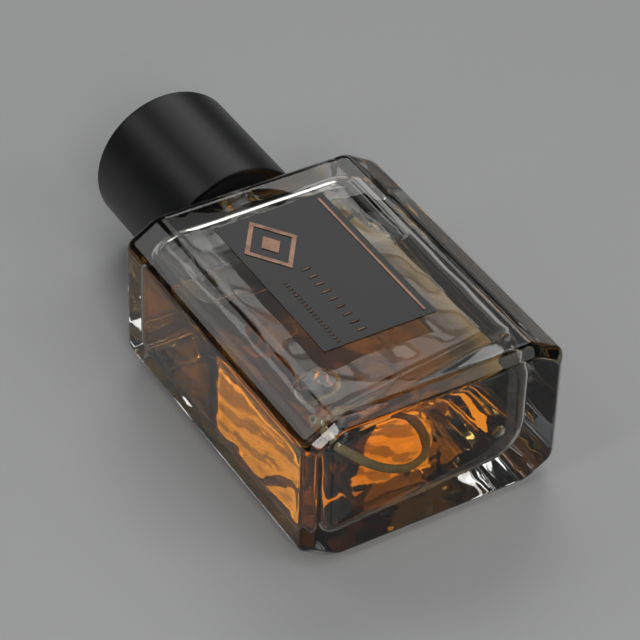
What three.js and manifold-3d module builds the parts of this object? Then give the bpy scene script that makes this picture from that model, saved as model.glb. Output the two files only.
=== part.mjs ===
// An aftershave bottle: a square-shouldered glass flask with a crimped spray pump and a round press-on cap.
// It lies on its back. X is the width, +Y runs from the foot of the flask to the cap, +Z points out of the
// labelled front, and everything stands on z = 0. Lengths are millimetres.
//
// Pieces are first placed with y = 0 at the foot, and the whole group is then centred along Y.

import * as THREE from "three";
import { mergeVertices } from "three/addons/utils/BufferGeometryUtils.js";
import Module from "manifold-3d";

// ---- Driving dimensions -----------------------------------------------------------------------------------

// Flask
const WIDTH = 66;
const THICK = 40;
const BODY_H = 82; // foot to shoulder
const EDGE_X = 8; // long bevels, measured across the width ...
const EDGE_Z = 5; // ... and through the thickness
const EDGE_ROUND = 1.6; // softening of each long crease
const FOOT_CHAMFER = 2.4;
const SHOULDER_ROUND = 3.2;
const WALL_SIDE = 5.6;
const WALL_FACE = 5.2;
const FOOT_THICK = 8; // in the middle of the foot
const SHOULDER_THICK = 3.5;
const CAVITY_CORNERS = { rightBack: 9, leftBack: 4.5, leftFront: 6, rightFront: 9 };
const CAVITY_END = 4;
const HEEL_TILT = 0.15; // the cavity's floor rises by this much per millimetre to the right
const HEEL_REACH = 22; // height over which the tilt fades out

// Neck finish for a crimped pump
const NECK_R = 6;
const NECK_H = 10;
const BEAD_R = 7.5;
const BEAD_H = 3.8;
const BEAD_SLOPE = 0.8; // height of the cone under the bead
const LIP_EDGE = 0.5;
const NECK_BORE_R = 4.7;

// Fill
const FILL_GAP = 0.3; // between the fill and everything it wets
const AIR_DEPTH = 3.4; // depth of the air pocket under the front wall
const AIR_LENGTH = 29; // how far it reaches from the shoulder towards the foot
const AIR_CORNER = 10;
const AIR_SKEW = 1.2; // the pocket's left corner is this much rounder than its right one
const BUBBLE_R = 4.7;
const BUBBLE_DEPTH = 2.6;
const BUBBLE_FROM_SIDE = 7.7; // cavity's left wall to the bubble's centre
const BUBBLE_FROM_FOOT = 9.2; // cavity's floor to the bubble's centre

// Label and its foil
const LABEL_W = 28.2;
const LABEL_H = 48.4;
const LABEL_OFFSET_X = -2.2;
const LABEL_DROP = 12.2; // shoulder to the label's upper edge
const LABEL_THICK = 0.2;
const FOIL_THICK = 0.12;
const FOIL_LINE = 1.3; // width of the lozenge's line
const LOZENGE_W = 13.5;
const LOZENGE_H = 19;
const LOZENGE_CORE = 0.36; // size of the inner lozenge, as a share of the outer one
const FOIL_MARGIN = 1.6; // label edge to foil
const RULE_W = 0.6;

// Pump
const GASKET_H = 1.2;
const FLANGE_INSET = 0.3; // edge of the bead to the edge of the gasket and the pump's flange
const FLANGE_H = 1.2;
const BARREL_R = 4.3;
const BARREL_LENGTH = 20; // lip of the neck to the end of the barrel
const BARREL_EDGE = 0.8;
const BARREL_CONE = 0.6; // height of the cone between barrel and tail
const PUMP_BORE_R = 3.2;
const TAIL_LENGTH = 8;
const TAIL_WALL = 0.75;
const SOCKET_DEPTH = 5;
const PORT_R = 0.7;
const PORT_LENGTH = 1;
const BALL_R = 1.2;
const BALL_LIFT = 0.8;
const BALL_PLAY = 0.3;
const SEAT_SLOPE = 0.8; // radius gained per millimetre along the ball's seat
const BALL_LIP_R = 1;
const BALL_LIP_H = 0.7;
const TRAVEL = 4.5; // stroke of the actuator
const STEM_R = 1.4;
const STEM_BORE_R = 0.55;
const STEM_HEAD_R = 2.8;
const STEM_HEAD_H = 0.8;
const STEM_GRIP = 4; // how far the stem enters the actuator
const CROSS_HOLE_R = 0.35;
const PISTON_H = 4;
const PISTON_WAIST_R = 2.4;
const PISTON_LIP = [0.3, 0.9, 1.5]; // from each end: start and end of the lip, and end of its cone
const PISTON_PLAY = 0.6; // how far the piston slides along the stem
const PISTON_SPRING_H = 2.9;
const TURRET_SKIRT = 4.6; // how far the turret reaches down into the barrel
const TURRET_INSET = 0.6; // edge of the pump's flange to the edge of the turret
const TURRET_H = 0.9;
const BOSS_R = 4.2;
const BOSS_H = 1.1;
const SPRING_R = 2.4;
const SPRING_WIRE_R = 0.25;
const SPRING_TURNS = 5.5;
const PISTON_SPRING_R = 2.15;
const PISTON_SPRING_WIRE_R = 0.18;
const PISTON_SPRING_TURNS = 3.5;
const TUBE_R = 1.1;
const TUBE_BORE_R = 0.65;
const TUBE_TIP = 0.4; // how far the tube runs on past the last point of its route

// Ferrule and collar
const FERRULE_WALL = 0.45;
const COLLAR_WALL = 1.5;
const COLLAR_STEP = 3; // how far the collar's foot stands out
const COLLAR_EDGE = 0.4;
const COLLAR_FLANGE_H = 2.3;
const COLLAR_LIP_H = 0.8;
const COLLAR_ABOVE_FERRULE = 2.4;

// Actuator
const SHELL_R = 6.9;
const SHELL_WALL = 0.5;
const SHELL_EDGE = 0.4;
const ACTUATOR_H = 8.5;
const NOZZLE_R = 1.6;
const NOZZLE_LENGTH = 2.1;
const NOZZLE_CUP_R = 0.9;
const ORIFICE_R = 0.3;
const ORIFICE_FLARE = 0.4;
const ORIFICE_DISH = 0.3; // depth of the flare
const NOZZLE_FLOOR = 0.6; // thickness of the insert's face
const DUCT_R = 0.5;

// Cap
const CAP_R = 18.4;
const CAP_RAISE = 6; // shoulder to the rim of the cap
const CAP_LENGTH = 35.5;
const CAP_WALL = 1.6;
const CAP_TOP = 1.8;
const CAP_ROUND = 0.5;
const LINER_INSET = 2; // rim of the cap to the liner
const LINER_WALL = 1.3;
const LINER_SKIRT_H = 7;
const LINER_HEADROOM = 6.6; // top of the actuator to the liner's ceiling

// Clearances
const SEAT = 0.05; // between stacked pieces that press on each other
const SLIDE = 0.05; // radial, round something that slides
const PRESS = 0.1; // radial, round something pressed in
const TURN = 0.3; // radial, round something that turns
const REST = 0.3; // between a loose piece and what it rests on

// Facets round a full turn
const COARSE = 24;
const MEDIUM = 32;
const FINE = 48;

// ---- Solids -----------------------------------------------------------------------------------------------

const wasm = await Module();
wasm.setup();

// A closed geometry as a solid that can be joined and cut.
function solid(geometry) {
  const bare = geometry.clone();
  bare.deleteAttribute("normal");
  bare.deleteAttribute("uv");
  const merged = mergeVertices(bare, 1e-4);
  return new wasm.Manifold(
    new wasm.Mesh({
      numProp: 3,
      vertProperties: merged.attributes.position.array,
      triVerts: new Uint32Array(merged.index.array),
    }),
  );
}

// The same solid as a geometry again.
function geometryOf(body) {
  const { vertProperties, triVerts } = body.getMesh();
  const geometry = new THREE.BufferGeometry();
  geometry.setAttribute("position", new THREE.BufferAttribute(vertProperties, 3));
  geometry.setIndex(new THREE.BufferAttribute(triVerts, 1));
  const flat = geometry.toNonIndexed();
  flat.computeVertexNormals();
  return flat;
}

// A body turned about the neck's axis, from [radius, y] points listed either way round.
function turned(points, facets) {
  const area = points.reduce((sum, [r, y], i) => {
    const [nextR, nextY] = points[(i + 1) % points.length];
    return sum + r * nextY - nextR * y;
  }, 0);
  const ordered = area > 0 ? points : [...points].reverse();
  const profile = ordered.map(([r, y]) => new THREE.Vector2(r, y));
  const onAxis = points[0][0] === 0 && points.at(-1)[0] === 0;
  if (!onAxis) profile.push(profile[0].clone());
  return new THREE.LatheGeometry(profile, facets);
}

// A plain rod along the neck's axis.
function rod(radius, from, to, facets) {
  return turned([[0, from], [radius, from], [radius, to], [0, to]], facets);
}

// A rod of the same kind that points along +Z, from one distance off the axis to another, at height y.
function sideRod(radius, y, from, to, facets) {
  return rod(radius, from, to, facets).rotateX(Math.PI / 2).translate(0, y, 0);
}

// A closed outline through corner points, each corner softened by its own radius along the sides.
function softOutline(corners) {
  const shape = new THREE.Shape();
  corners.forEach(({ at, soft }, i) => {
    const before = corners.at(i - 1).at;
    const after = corners[(i + 1) % corners.length].at;
    const enter = at.clone().add(before.clone().sub(at).setLength(soft));
    const leave = at.clone().add(after.clone().sub(at).setLength(soft));
    if (i === 0) shape.moveTo(enter.x, enter.y);
    else shape.lineTo(enter.x, enter.y);
    shape.quadraticCurveTo(at.x, at.y, leave.x, leave.y);
  });
  shape.closePath();
  return shape;
}

// A rectangle with round corners, about the origin. The radii start at +X +Y and go round anticlockwise.
function roundedRectangle(halfX, halfY, radii) {
  const signs = [[1, 1], [-1, 1], [-1, -1], [1, -1]];
  const shape = new THREE.Shape();
  signs.forEach(([signX, signY], i) => {
    const x = signX * (halfX - radii[i]);
    const y = signY * (halfY - radii[i]);
    shape.absarc(x, y, radii[i], (i * Math.PI) / 2, ((i + 1) * Math.PI) / 2);
  });
  shape.closePath();
  return shape;
}

// A bar with that section along +Y, its ends bevelled inwards by end, in so many steps.
function bar(section, from, to, end, steps, curveSegments) {
  const geometry = new THREE.ExtrudeGeometry(section, {
    depth: to - from - 2 * end,
    bevelThickness: end,
    bevelSize: end,
    bevelOffset: -end,
    bevelSegments: steps,
    curveSegments,
  });
  return geometry.translate(0, 0, end).rotateX(-Math.PI / 2).translate(0, from, 0);
}

// A flat plate with that outline in the XY plane, between two heights.
function plate(outline, fromZ, toZ) {
  const geometry = new THREE.ExtrudeGeometry(outline, {
    depth: toZ - fromZ,
    bevelEnabled: false,
    curveSegments: 8,
  });
  return geometry.translate(0, 0, fromZ);
}

// A ring-shaped or plain round section swept along a curve.
function swept(curve, radius, boreRadius, sides, steps) {
  const section = new THREE.Shape().absarc(0, 0, radius, 0, Math.PI * 2);
  if (boreRadius > 0) section.holes.push(new THREE.Path().absarc(0, 0, boreRadius, 0, Math.PI * 2));
  // A full arc gets two segments for each of its curveSegments.
  return new THREE.ExtrudeGeometry(section, { steps, curveSegments: sides / 2, extrudePath: curve });
}

class Helix extends THREE.Curve {
  constructor(radius, from, to, turns) {
    super();
    Object.assign(this, { radius, from, to, turns });
  }
  getPoint(t, target = new THREE.Vector3()) {
    const angle = t * this.turns * Math.PI * 2;
    const y = this.from + t * (this.to - this.from);
    return target.set(this.radius * Math.cos(angle), y, this.radius * Math.sin(angle));
  }
}

// A coil spring that fills the space between two seats.
function coilSpring(radius, wireRadius, lowSeat, highSeat, turns) {
  const inset = wireRadius + SEAT;
  const curve = new Helix(radius, lowSeat + inset, highSeat - inset, turns);
  return swept(curve, wireRadius, 0, 6, Math.round(turns * 12));
}

// ---- Places along the bottle ------------------------------------------------------------------------------

const lipY = BODY_H + NECK_H;
const beadY = lipY - BEAD_H;
const cavityTop = BODY_H - SHOULDER_THICK;
const cavityHalfX = WIDTH / 2 - WALL_SIDE;
const cavityHalfZ = THICK / 2 - WALL_FACE;

const flangeR = BEAD_R - FLANGE_INSET;
const gasketY = lipY + SEAT;
const flangeY = gasketY + GASKET_H + SEAT;
const flangeTop = flangeY + FLANGE_H;
const turretY = flangeTop + SEAT;
const turretR = flangeR - TURRET_INSET;
const turretTop = turretY + TURRET_H;
const ferruleTop = turretTop + SEAT + FERRULE_WALL;
const bossTop = turretTop + BOSS_H;
const skirtY = turretY - TURRET_SKIRT;

const barrelY = lipY - BARREL_LENGTH;
const tailY = barrelY - TAIL_LENGTH;
const socketR = TUBE_R + SLIDE;
const tailR = socketR + TAIL_WALL;
const socketTop = tailY + SOCKET_DEPTH;
const ballSeatY = socketTop + PORT_LENGTH;
const cageR = BALL_R + BALL_PLAY;
const ballY = ballSeatY + (BALL_R * Math.hypot(1, SEAT_SLOPE) - PORT_R) / SEAT_SLOPE + SEAT;
const cageTop = ballY + BALL_R + BALL_LIFT + SEAT;
const springSeatY = cageTop + BALL_LIP_H;

const pistonTop = skirtY - REST;
const pistonY = pistonTop - PISTON_H;
const stemHeadTop = pistonY - PISTON_SPRING_H;
const stemHeadY = stemHeadTop - STEM_HEAD_H;
const actuatorY = bossTop + TRAVEL + REST;
const actuatorTop = actuatorY + ACTUATOR_H;
const stemTop = actuatorY + STEM_GRIP;
const nozzleY = stemTop + DUCT_R + PRESS;

const ferruleR = BEAD_R + REST + FERRULE_WALL;
const collarR = ferruleR + TURN + COLLAR_WALL;
const collarFootR = collarR + COLLAR_STEP;
const collarTop = ferruleTop + COLLAR_ABOVE_FERRULE;
const capRim = BODY_H + CAP_RAISE;
const capEnd = capRim + CAP_LENGTH;
const linerCeiling = actuatorTop + LINER_HEADROOM;

// ---- Flask, fill and label --------------------------------------------------------------------------------

function flaskSection() {
  const x = WIDTH / 2;
  const z = THICK / 2;
  const quarter = [
    [x, z - EDGE_Z],
    [x - EDGE_X, z],
  ];
  const corners = [
    ...quarter,
    ...quarter.map(([px, pz]) => [-px, pz]).reverse(),
    ...quarter.map(([px, pz]) => [-px, -pz]),
    ...quarter.map(([px, pz]) => [px, -pz]).reverse(),
  ];
  return softOutline(corners.map(([px, pz]) => ({ at: new THREE.Vector2(px, pz), soft: EDGE_ROUND })));
}

// The hollow of the flask, or the same shape drawn in by inset on every side. The section's +Y is the flask's
// back.
function cavity(inset) {
  const { rightBack, leftBack, leftFront, rightFront } = CAVITY_CORNERS;
  const radii = [rightBack, leftBack, leftFront, rightFront].map((radius) => radius - inset);
  const section = roundedRectangle(cavityHalfX - inset, cavityHalfZ - inset, radii);
  const hollow = bar(section, FOOT_THICK + inset, cavityTop - inset, CAVITY_END - inset, 4, 3);
  const points = hollow.attributes.position;
  for (let i = 0; i < points.count; i++) {
    const share = THREE.MathUtils.clamp((points.getY(i) - FOOT_THICK) / HEEL_REACH, 0, 1);
    points.setY(i, points.getY(i) + HEEL_TILT * points.getX(i) * (1 - share) ** 2);
  }
  return hollow;
}

function glassBottle() {
  const beyond = THICK;
  const section = flaskSection();
  const footed = solid(bar(section, 0, BODY_H + beyond, FOOT_CHAMFER, 1, 2));
  const shouldered = solid(bar(section, -beyond, BODY_H, SHOULDER_ROUND, 4, 2));
  const neck = solid(
    turned(
      [
        [0, cavityTop],
        [NECK_R, cavityTop],
        [NECK_R, beadY - BEAD_SLOPE],
        [BEAD_R, beadY],
        [BEAD_R, lipY - LIP_EDGE],
        [BEAD_R - LIP_EDGE, lipY],
        [0, lipY],
      ],
      MEDIUM,
    ),
  );
  const bore = solid(rod(NECK_BORE_R, cavityTop - CAVITY_END, lipY + 1, MEDIUM));
  const body = footed.intersect(shouldered).add(neck).subtract(solid(cavity(0))).subtract(bore);
  return geometryOf(body);
}

// The dip tube leaves the pump straight and sweeps round under the fill into the foot's left front corner.
// The free stretch is listed in the cavity's own measure: -1 to 1 across and through, and 0 to 1 from the
// foot to the pump.
function tubeCurve(endExtra) {
  const margin = TUBE_R + FILL_GAP + REST;
  const reachX = cavityHalfX - margin;
  const reachZ = cavityHalfZ - margin;
  const reachY = tailY - FOOT_THICK;
  const free = [
    [0, 0.931, 0],
    [0, 0.784, 0],
    [0.15, 0.627, -0.32],
    [0.32, 0.48, -0.72],
    [0.28, 0.337, -0.98],
    [-0.01, 0.207, -0.86],
    [-0.43, 0.101, -0.27],
    [-0.86, 0.067, 0.6],
  ];
  const points = free.map(
    ([u, v, w]) => new THREE.Vector3(u * reachX, FOOT_THICK + v * reachY, w * reachZ),
  );
  points.unshift(new THREE.Vector3(0, socketTop - REST, 0));
  const last = points.at(-1);
  const onward = last.clone().sub(points.at(-2)).normalize();
  points.push(last.clone().addScaledVector(onward, endExtra));
  return new THREE.CatmullRomCurve3(points, false, "centripetal");
}

function dipTube() {
  return swept(tubeCurve(TUBE_TIP), TUBE_R, TUBE_BORE_R, 10, 56);
}

// The fill takes the cavity's shape, less the air under the front wall, one bubble and what hangs in it.
function aftershaveLiquid() {
  const top = cavityHalfZ + FILL_GAP;
  const airHalfX = cavityHalfX + REST;
  const airFoot = cavityTop - AIR_LENGTH;
  const airBeyond = cavityTop + FILL_GAP;
  const airOutline = softOutline([
    { at: new THREE.Vector2(-airHalfX, airFoot), soft: AIR_CORNER * AIR_SKEW },
    { at: new THREE.Vector2(airHalfX, airFoot), soft: AIR_CORNER },
    { at: new THREE.Vector2(airHalfX, airBeyond), soft: REST },
    { at: new THREE.Vector2(-airHalfX, airBeyond), soft: REST },
  ]);
  const air = solid(plate(airOutline, cavityHalfZ - AIR_DEPTH, top));
  const bubble = new THREE.SphereGeometry(1, 16, 10)
    .scale(BUBBLE_R, BUBBLE_R, BUBBLE_DEPTH)
    .translate(
      BUBBLE_FROM_SIDE - cavityHalfX,
      FOOT_THICK + BUBBLE_FROM_FOOT,
      cavityHalfZ - BUBBLE_DEPTH / 2,
    );
  const barrelFoot = barrelY - BARREL_CONE - FILL_GAP;
  const barrelHole = solid(rod(BARREL_R + FILL_GAP, barrelFoot, BODY_H, COARSE));
  const tailHole = solid(rod(tailR + FILL_GAP, tailY - FILL_GAP, BODY_H, COARSE));
  const tubeHole = solid(swept(tubeCurve(TUBE_TIP + FILL_GAP), TUBE_R + FILL_GAP, 0, 10, 56));
  const body = solid(cavity(FILL_GAP))
    .subtract(air)
    .subtract(solid(bubble))
    .subtract(barrelHole.add(tailHole).add(tubeHole));
  return geometryOf(body);
}

const labelTop = BODY_H - LABEL_DROP;
const labelLeft = LABEL_OFFSET_X - LABEL_W / 2;
const labelFace = THICK / 2 + SEAT + LABEL_THICK;

function labelFilm() {
  const outline = new THREE.Shape([
    new THREE.Vector2(labelLeft, labelTop - LABEL_H),
    new THREE.Vector2(labelLeft + LABEL_W, labelTop - LABEL_H),
    new THREE.Vector2(labelLeft + LABEL_W, labelTop),
    new THREE.Vector2(labelLeft, labelTop),
  ]);
  return plate(outline, THICK / 2 + SEAT, labelFace);
}

// A lozenge about the emblem's centre, share times its full size.
function lozenge(share) {
  const halfX = (LOZENGE_W / 2) * share;
  const halfY = (LOZENGE_H / 2) * share;
  return [
    new THREE.Vector2(halfX, 0),
    new THREE.Vector2(0, halfY),
    new THREE.Vector2(-halfX, 0),
    new THREE.Vector2(0, -halfY),
  ];
}

function foilPlate(outline) {
  const z = labelFace + SEAT;
  const emblemX = labelLeft + FOIL_MARGIN + LOZENGE_W / 2;
  const emblemY = labelTop - FOIL_MARGIN - LOZENGE_H / 2;
  return plate(outline, z, z + FOIL_THICK).translate(emblemX, emblemY, 0);
}

function foilLozenge() {
  const outline = new THREE.Shape(lozenge(1));
  outline.holes.push(new THREE.Path(lozenge(1 - (2 * FOIL_LINE) / LOZENGE_W)));
  return foilPlate(outline);
}

function foilCore() {
  return foilPlate(new THREE.Shape(lozenge(LOZENGE_CORE)));
}

function foilRule() {
  const z = labelFace + SEAT;
  const right = labelLeft + LABEL_W - FOIL_MARGIN;
  const low = labelTop - LABEL_H + FOIL_MARGIN;
  const outline = new THREE.Shape([
    new THREE.Vector2(right - RULE_W, low),
    new THREE.Vector2(right, low),
    new THREE.Vector2(right, labelTop - FOIL_MARGIN),
    new THREE.Vector2(right - RULE_W, labelTop - FOIL_MARGIN),
  ]);
  return plate(outline, z, z + FOIL_THICK);
}

// ---- Pump -------------------------------------------------------------------------------------------------

function neckGasket() {
  const inner = BARREL_R + PRESS;
  return turned(
    [[inner, gasketY], [flangeR, gasketY], [flangeR, gasketY + GASKET_H], [inner, gasketY + GASKET_H]],
    COARSE,
  );
}

function pumpHousing() {
  return turned(
    [
      [flangeR, flangeTop],
      [flangeR, flangeY],
      [BARREL_R, flangeY],
      [BARREL_R, barrelY + BARREL_EDGE],
      [BARREL_R - BARREL_EDGE, barrelY],
      [tailR, barrelY - BARREL_CONE],
      [tailR, tailY],
      [socketR, tailY],
      [socketR, socketTop],
      [PORT_R, socketTop],
      [PORT_R, ballSeatY],
      [cageR, ballSeatY + (cageR - PORT_R) / SEAT_SLOPE],
      [cageR, cageTop],
      [BALL_LIP_R, cageTop + BALL_LIP_H / 2],
      [BALL_LIP_R, springSeatY],
      [PUMP_BORE_R, springSeatY],
      [PUMP_BORE_R, flangeTop],
    ],
    COARSE,
  );
}

function pumpTurret() {
  const guide = STEM_R + SLIDE;
  const skirt = PUMP_BORE_R - SLIDE;
  return turned(
    [
      [guide, skirtY],
      [skirt, skirtY],
      [skirt, turretY],
      [turretR, turretY],
      [turretR, turretTop],
      [BOSS_R, turretTop],
      [BOSS_R, bossTop],
      [guide, bossTop],
    ],
    COARSE,
  );
}

function inletBall() {
  return new THREE.SphereGeometry(BALL_R, 16, 12).translate(0, ballY, 0);
}

function stem() {
  const boreY = pistonY + CROSS_HOLE_R * 2;
  const turnedStem = turned(
    [
      [0, stemHeadY],
      [STEM_HEAD_R, stemHeadY],
      [STEM_HEAD_R, stemHeadTop],
      [STEM_R, stemHeadTop],
      [STEM_R, stemTop],
      [STEM_BORE_R, stemTop],
      [STEM_BORE_R, boreY],
      [0, boreY],
    ],
    COARSE,
  );
  const cross = sideRod(CROSS_HOLE_R, boreY + CROSS_HOLE_R * 2, -2 * STEM_R, 2 * STEM_R, 10);
  return geometryOf(solid(turnedStem).subtract(solid(cross)));
}

function piston() {
  const inner = STEM_R + SLIDE;
  const lip = PUMP_BORE_R - SLIDE;
  const [lipStart, lipEnd, coneEnd] = PISTON_LIP;
  return turned(
    [
      [inner, pistonY],
      [PISTON_WAIST_R, pistonY],
      [lip, pistonY + lipStart],
      [lip, pistonY + lipEnd],
      [PISTON_WAIST_R, pistonY + coneEnd],
      [PISTON_WAIST_R, pistonTop - coneEnd],
      [lip, pistonTop - lipEnd],
      [lip, pistonTop - lipStart],
      [PISTON_WAIST_R, pistonTop],
      [inner, pistonTop],
    ],
    COARSE,
  );
}

function returnSpring() {
  return coilSpring(SPRING_R, SPRING_WIRE_R, springSeatY, stemHeadY, SPRING_TURNS);
}

function pistonSpring() {
  return coilSpring(PISTON_SPRING_R, PISTON_SPRING_WIRE_R, stemHeadTop, pistonY, PISTON_SPRING_TURNS);
}

function crimpFerrule() {
  const inner = ferruleR - FERRULE_WALL;
  const lip = NECK_R + REST;
  const underBead = beadY - BEAD_SLOPE - SEAT;
  const hole = BOSS_R + PRESS;
  return turned(
    [
      [lip, underBead - FERRULE_WALL],
      [ferruleR, underBead - FERRULE_WALL],
      [ferruleR, ferruleTop],
      [hole, ferruleTop],
      [hole, ferruleTop - FERRULE_WALL],
      [inner, ferruleTop - FERRULE_WALL],
      [inner, underBead],
      [lip, underBead],
    ],
    MEDIUM,
  );
}

function collar() {
  const inner = ferruleR + TURN;
  const lip = SHELL_R + TURN;
  const foot = BODY_H + REST;
  return turned(
    [
      [inner, foot],
      [collarFootR - COLLAR_EDGE, foot],
      [collarFootR, foot + COLLAR_EDGE],
      [collarFootR, foot + COLLAR_FLANGE_H - COLLAR_EDGE],
      [collarFootR - COLLAR_EDGE, foot + COLLAR_FLANGE_H],
      [collarR, foot + COLLAR_FLANGE_H],
      [collarR, collarTop - COLLAR_EDGE],
      [collarR - COLLAR_EDGE, collarTop],
      [lip, collarTop],
      [lip, collarTop - COLLAR_LIP_H],
      [inner, collarTop - COLLAR_LIP_H],
    ],
    FINE,
  );
}

// ---- Actuator ---------------------------------------------------------------------------------------------

function actuatorCore() {
  const outer = SHELL_R - SHELL_WALL - PRESS;
  const socket = STEM_R + SLIDE;
  const top = actuatorTop - SHELL_WALL - PRESS;
  const button = turned(
    [
      [0, stemTop + SEAT],
      [socket, stemTop + SEAT],
      [socket, actuatorY],
      [outer, actuatorY],
      [outer, top],
      [0, top],
    ],
    MEDIUM,
  );
  const pocket = sideRod(NOZZLE_R + PRESS, nozzleY, outer - NOZZLE_LENGTH - PRESS, SHELL_R, 16);
  const duct = sideRod(DUCT_R, nozzleY, 0, outer, 8);
  const riser = rod(DUCT_R, stemTop, nozzleY, 8);
  return geometryOf(solid(button).subtract(solid(pocket)).subtract(solid(duct).add(solid(riser))));
}

function actuatorShell() {
  const inner = SHELL_R - SHELL_WALL;
  const cup = turned(
    [
      [0, actuatorTop],
      [SHELL_R - SHELL_EDGE, actuatorTop],
      [SHELL_R, actuatorTop - SHELL_EDGE],
      [SHELL_R, actuatorY],
      [inner, actuatorY],
      [inner, actuatorTop - SHELL_WALL],
      [0, actuatorTop - SHELL_WALL],
    ],
    MEDIUM,
  );
  const window = sideRod(NOZZLE_R + TURN, nozzleY, inner - 1, SHELL_R + 1, 20);
  return geometryOf(solid(cup).subtract(solid(window)));
}

function nozzleInsert() {
  const outer = SHELL_R - SHELL_WALL - PRESS;
  const back = outer - NOZZLE_LENGTH;
  const floor = outer - NOZZLE_FLOOR;
  return turned(
    [
      [NOZZLE_CUP_R, back],
      [NOZZLE_R, back],
      [NOZZLE_R, outer],
      [ORIFICE_R + ORIFICE_FLARE, outer],
      [ORIFICE_R, outer - ORIFICE_DISH],
      [ORIFICE_R, floor],
      [NOZZLE_CUP_R, floor],
    ],
    16,
  )
    .rotateX(Math.PI / 2)
    .translate(0, nozzleY, 0);
}

// ---- Cap --------------------------------------------------------------------------------------------------

function capShell() {
  const inner = CAP_R - CAP_WALL;
  return turned(
    [
      [0, capEnd],
      [CAP_R - CAP_ROUND, capEnd],
      [CAP_R - CAP_ROUND * 0.3, capEnd - CAP_ROUND * 0.3],
      [CAP_R, capEnd - CAP_ROUND],
      [CAP_R, capRim + CAP_ROUND / 2],
      [CAP_R - CAP_ROUND / 2, capRim],
      [inner, capRim],
      [inner, capEnd - CAP_TOP],
      [0, capEnd - CAP_TOP],
    ],
    FINE,
  );
}

function capLiner() {
  const outer = CAP_R - CAP_WALL - PRESS;
  const grip = collarR + PRESS;
  const foot = capRim + LINER_INSET;
  return turned(
    [
      [0, linerCeiling + LINER_WALL],
      [grip + LINER_WALL, linerCeiling + LINER_WALL],
      [grip + LINER_WALL, foot + LINER_WALL],
      [outer - LINER_WALL, foot + LINER_WALL],
      [outer - LINER_WALL, foot + LINER_SKIRT_H],
      [outer, foot + LINER_SKIRT_H],
      [outer, foot],
      [grip, foot],
      [grip, linerCeiling],
      [0, linerCeiling],
    ],
    FINE,
  );
}

// ---- Assembly ---------------------------------------------------------------------------------------------

const materials = {
  glass: { color: 0xf4f7f6, roughness: 0.03, metalness: 0, transparent: true, opacity: 0.35 },
  aftershave: { color: 0x8a3c06, roughness: 0.05, metalness: 0, transparent: true, opacity: 0.85 },
  film: { color: 0x141414, roughness: 0.45, metalness: 0 },
  foil: { color: 0xb06a45, roughness: 0.3, metalness: 1 },
  rubber: { color: 0xd8d4cc, roughness: 0.8, metalness: 0 },
  aluminium: { color: 0xc9cbcd, roughness: 0.3, metalness: 1 },
  polymer: { color: 0xe6e8e6, roughness: 0.5, metalness: 0 },
  steel: { color: 0xb8bbbe, roughness: 0.2, metalness: 1 },
  black: { color: 0x1b1d1e, roughness: 0.42, metalness: 0 },
};

function piece(name, geometry, material) {
  const mesh = new THREE.Mesh(geometry, new THREE.MeshStandardMaterial(materials[material]));
  mesh.name = name;
  return mesh;
}

const bottle = new THREE.Group();
bottle.position.set(0, -capEnd / 2, THICK / 2);
bottle.add(
  piece("glass_bottle", glassBottle(), "glass"),
  piece("aftershave_liquid", aftershaveLiquid(), "aftershave"),
  piece("label_film", labelFilm(), "film"),
  piece("foil_lozenge", foilLozenge(), "foil"),
  piece("foil_core", foilCore(), "foil"),
  piece("foil_rule", foilRule(), "foil"),
  piece("neck_gasket", neckGasket(), "rubber"),
  piece("crimp_ferrule", crimpFerrule(), "aluminium"),
  piece("pump_housing", pumpHousing(), "polymer"),
  piece("pump_turret", pumpTurret(), "polymer"),
  piece("inlet_ball", inletBall(), "steel"),
  piece("dip_tube", dipTube(), "polymer"),
  piece("return_spring", returnSpring(), "steel"),
  piece("stem", stem(), "polymer"),
  piece("piston", piston(), "polymer"),
  piece("piston_spring", pistonSpring(), "steel"),
  piece("collar", collar(), "black"),
  piece("actuator_core", actuatorCore(), "polymer"),
  piece("actuator_shell", actuatorShell(), "black"),
  piece("nozzle_insert", nozzleInsert(), "polymer"),
  piece("cap_shell", capShell(), "black"),
  piece("cap_liner", capLiner(), "polymer"),
);

const part = new THREE.Group();
part.add(bottle);

export default part;
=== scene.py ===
# %% [markdown]
# # An aftershave bottle lying on its back
#
# The object is a square-shouldered flask of thick clear glass, filled with amber aftershave. A spray pump
# is crimped on its neck and a round black cap is pressed over the pump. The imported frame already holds
# every solid in its place and every joint, so this file gives them their looks: smooth surfaces where the
# solids are made of flats, the fill's meniscus and bubbles, and a material for each piece.

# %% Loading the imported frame
import math

import bmesh
import bpy
import numpy as np
from mathutils import Matrix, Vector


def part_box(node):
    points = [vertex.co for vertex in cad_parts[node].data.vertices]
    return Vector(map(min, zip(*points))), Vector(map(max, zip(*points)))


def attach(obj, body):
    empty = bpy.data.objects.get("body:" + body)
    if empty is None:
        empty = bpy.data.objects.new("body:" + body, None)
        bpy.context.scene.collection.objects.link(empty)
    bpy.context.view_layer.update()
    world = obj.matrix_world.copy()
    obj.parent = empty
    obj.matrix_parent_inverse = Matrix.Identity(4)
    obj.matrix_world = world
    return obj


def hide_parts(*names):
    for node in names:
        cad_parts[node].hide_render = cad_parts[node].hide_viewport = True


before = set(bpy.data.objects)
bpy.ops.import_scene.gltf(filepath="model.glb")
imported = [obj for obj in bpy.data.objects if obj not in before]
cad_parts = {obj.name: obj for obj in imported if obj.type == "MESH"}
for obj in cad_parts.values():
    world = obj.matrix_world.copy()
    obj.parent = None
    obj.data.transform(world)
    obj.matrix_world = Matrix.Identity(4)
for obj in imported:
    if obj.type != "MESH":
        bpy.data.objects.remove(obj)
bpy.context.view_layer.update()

print("nodes:", len(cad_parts))

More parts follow.
